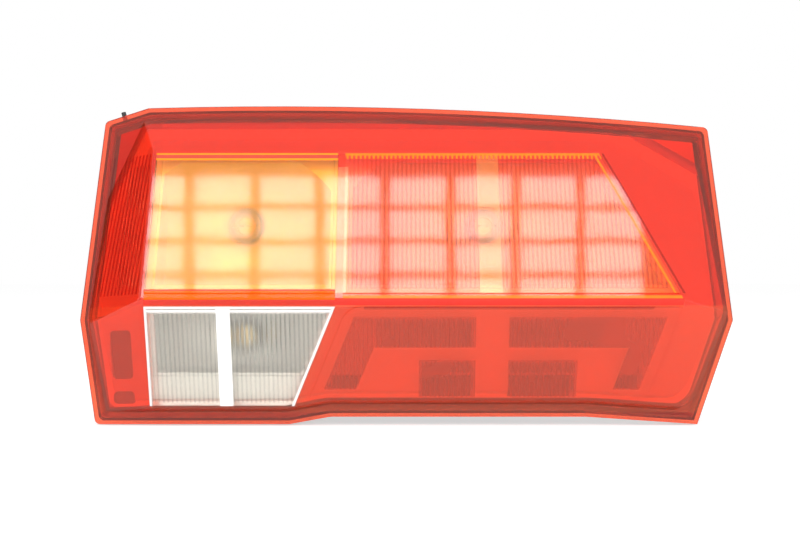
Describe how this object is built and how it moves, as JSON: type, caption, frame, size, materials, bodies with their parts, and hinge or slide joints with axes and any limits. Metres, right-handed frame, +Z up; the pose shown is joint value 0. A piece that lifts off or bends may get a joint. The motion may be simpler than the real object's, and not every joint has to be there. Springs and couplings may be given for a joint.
{
  "type": "tail light cluster",
  "caption": "Faceted rear lamp cluster with amber turn, red stop, clear reversing and red fog windows, fluted optics and a black housing that bolts to a vehicle by studs.",
  "frame": {"origin": "middle of the four mounting studs, on the plane of the body panel", "axes": "+X along the lamp to the right as seen from the lens side, +Y from the lens into the vehicle, +Z up"},
  "size_m": [0.4499, 0.115, 0.221],
  "materials": {
    "red_lens": "clear red acrylic, polished",
    "amber_lens": "clear amber acrylic, polished",
    "clear_lens": "clear acrylic, polished",
    "metallised": "vacuum metallised plastic",
    "black_plastic": "moulded, fine grain",
    "grey_plastic": "moulded, satin",
    "seal_rubber": "soft black",
    "foam": "closed-cell foam",
    "zinc_steel": "zinc plated",
    "brass": "bright",
    "bulb_glass": "clear",
    "tungsten": "drawn wire"
  },
  "bodies": {
    "root": {"lens_red": "red_lens", "lens_amber": "amber_lens", "lens_clear": "clear_lens", "inner_bezel": "metallised", "turn_reflector": "metallised", "stop_reflector": "metallised", "reverse_reflector": "metallised", "fog_reflector": "metallised", "housing": "black_plastic", "lens_seal": "seal_rubber", "stud_seals": "foam", "mounting_studs": "zinc_steel", "vent_cap": "seal_rubber", "bulb_carrier": "grey_plastic", "carrier_seal": "seal_rubber", "carrier_screws": "zinc_steel", "contact_rivets": "brass", "bulb_filaments": "tungsten", "turn_track": "brass", "stop_track": "brass", "tail_track": "brass", "reverse_track": "brass", "fog_track": "brass", "ground_track": "brass", "turn_bulb_cap": "brass", "turn_bulb_glass": "bulb_glass", "stop_bulb_cap": "brass", "stop_bulb_glass": "bulb_glass", "reverse_bulb_cap": "brass", "reverse_bulb_glass": "bulb_glass", "fog_bulb_cap": "brass", "fog_bulb_glass": "bulb_glass"}
  },
  "joints": []
}
